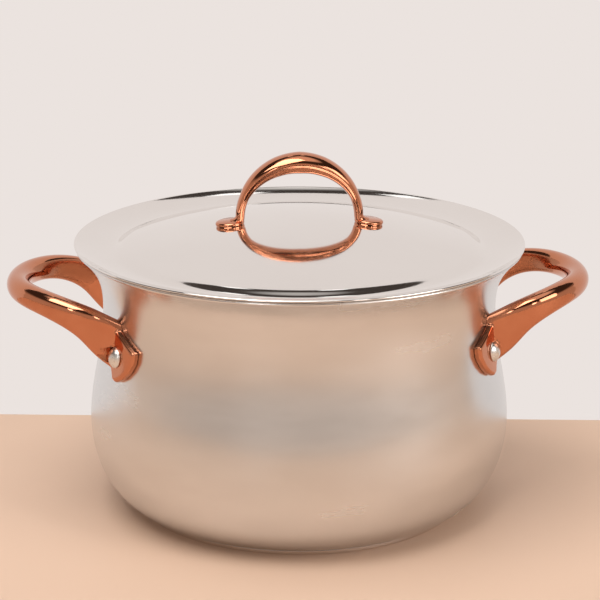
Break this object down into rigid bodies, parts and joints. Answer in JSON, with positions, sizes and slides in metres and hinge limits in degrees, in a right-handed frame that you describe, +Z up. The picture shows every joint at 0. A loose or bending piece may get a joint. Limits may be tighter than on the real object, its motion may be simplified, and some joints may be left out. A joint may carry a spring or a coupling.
{
  "type": "two-handled cooking pot with lid",
  "caption": "Bellied polished steel cooking pot with a flared rim, layered base, copper-coloured loop handles and a lift-off domed steel lid with an arch handle.",
  "frame": {"origin": "centre of the flat foot, on the surface that the pot stands on", "axes": "+Z up along the pot's axis, side handles along +X and -X, the lid handle's arch in the XZ plane"},
  "size_m": [0.3396, 0.2606, 0.2089],
  "materials": {
    "polished_steel": "mirror-polished stainless steel with a very fine polishing haze",
    "copper_cast": "polished cast metal with a copper-coloured coating",
    "rivet_steel": "satin domed rivets",
    "screw_steel": "plain stainless fasteners",
    "aluminium_core": "plain rolled aluminium"
  },
  "bodies": {
    "pot": {"pot_body": "polished_steel", "base_cap": "polished_steel", "base_core": "aluminium_core", "side_handle_left": "copper_cast", "side_handle_right": "copper_cast", "rivet_left_front": "rivet_steel", "rivet_left_rear": "rivet_steel", "rivet_right_front": "rivet_steel", "rivet_right_rear": "rivet_steel"},
    "lid": {"lid_shell": "polished_steel", "lid_handle": "copper_cast", "lid_screw_left": "screw_steel", "lid_screw_right": "screw_steel", "lid_washer_left": "screw_steel", "lid_washer_right": "screw_steel"}
  },
  "joints": [
    {"name": "lid_lift", "type": "slide", "parent": "pot", "child": "lid", "axis": [0, 0, 1], "range_m": [0, 0.1]}
  ]
}
